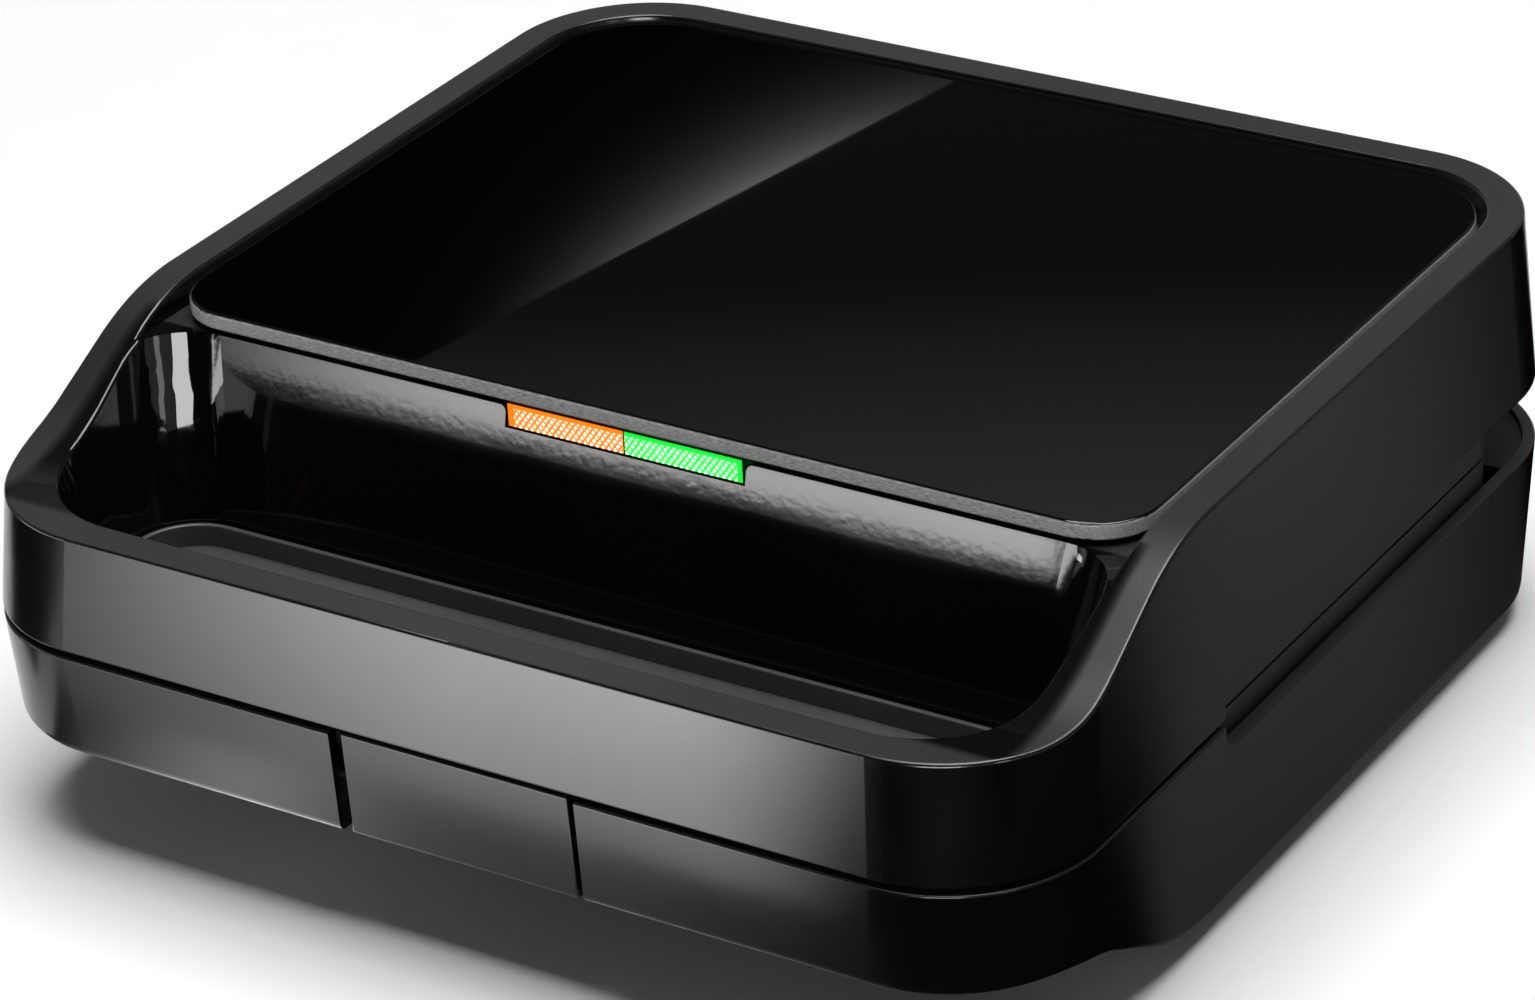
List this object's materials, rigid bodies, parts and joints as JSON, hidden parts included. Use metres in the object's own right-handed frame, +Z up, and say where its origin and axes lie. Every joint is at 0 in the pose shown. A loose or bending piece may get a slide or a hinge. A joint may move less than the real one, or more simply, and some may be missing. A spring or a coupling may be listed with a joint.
{
  "type": "donut maker",
  "caption": "Table-top donut maker: hinged black shells with ring-cavity heated plates, a flat top panel, a front finger recess, a latch and two indicator lights.",
  "frame": {"origin": "on the table under the middle of the closed appliance, at the level of the feet", "axes": "+Z up, +X to the right as seen from the front, -Y to the front (latch side)"},
  "size_m": [0.24, 0.2366, 0.0904],
  "materials": {
    "shell": "moulded black plastic with a satin gloss",
    "inner_plastic": "black plastic with a fine spark texture",
    "panel": "polished black panel",
    "plate_coating": "cast aluminium with a dark non-stick coating",
    "steel": "zinc-plated steel",
    "heater_sheath": "heat-dulled steel sheath",
    "shield_sheet": "plain aluminised sheet",
    "soft_rubber": "matt black rubber",
    "gasket_foam": "black adhesive foam",
    "white_ceramic": "unglazed white ceramic",
    "thermostat_body": "brown ceramic body",
    "fuse_sleeve": "woven glass sleeve",
    "amber_lens": "clear amber with fine prisms, lit from behind",
    "green_lens": "clear green with fine prisms, lit from behind",
    "holder_plastic": "white heat-resistant plastic",
    "amber_lamp": "small amber glass lamp",
    "green_lamp": "small green glass lamp"
  },
  "bodies": {
    "base": {"base_housing": "shell", "handle_tray": "inner_plastic", "tray_screws": "steel", "lower_plate": "plate_coating", "lower_heating_element": "heater_sheath", "lower_element_clips": "steel", "lower_clip_screws": "steel", "lower_heat_shield": "shield_sheet", "lower_plate_screws": "steel", "base_rear_cover": "inner_plastic", "base_rear_cover_screws": "steel", "terminal_block": "white_ceramic", "cord_gland": "soft_rubber", "latch_pin": "steel", "hinge_pin_left": "steel", "hinge_pin_right": "steel", "foot_front_left": "soft_rubber", "foot_front_right": "soft_rubber", "foot_rear_left": "soft_rubber", "foot_rear_right": "soft_rubber"},
    "latch": {"latch_lever": "shell"},
    "lid": {"lid_housing": "shell", "top_panel": "panel", "panel_gasket": "gasket_foam", "handle_cover": "inner_plastic", "handle_screws": "steel", "lid_rear_cover": "inner_plastic", "lid_rear_cover_screws": "steel", "upper_plate": "plate_coating", "upper_heating_element": "heater_sheath", "upper_element_clips": "steel", "upper_clip_screws": "steel", "upper_heat_shield": "shield_sheet", "upper_plate_screws": "steel", "thermostat": "thermostat_body", "thermal_fuse": "fuse_sleeve", "fuse_strap": "steel", "indicator_lens_amber": "amber_lens", "indicator_lens_green": "green_lens", "lamp_holder": "holder_plastic", "lamp_amber": "amber_lamp", "lamp_green": "green_lamp"}
  },
  "joints": [
    {"name": "lid_hinge", "type": "hinge", "parent": "base", "child": "lid", "pos_m": [0, 0.113, 0.0467], "axis": [-1, 0, 0], "range_deg": [0, 95]},
    {"name": "latch_pivot", "type": "hinge", "parent": "base", "child": "latch", "pos_m": [0, -0.11142, 0.0335], "axis": [-1, 0, 0], "range_deg": [0, 4.5]}
  ]
}
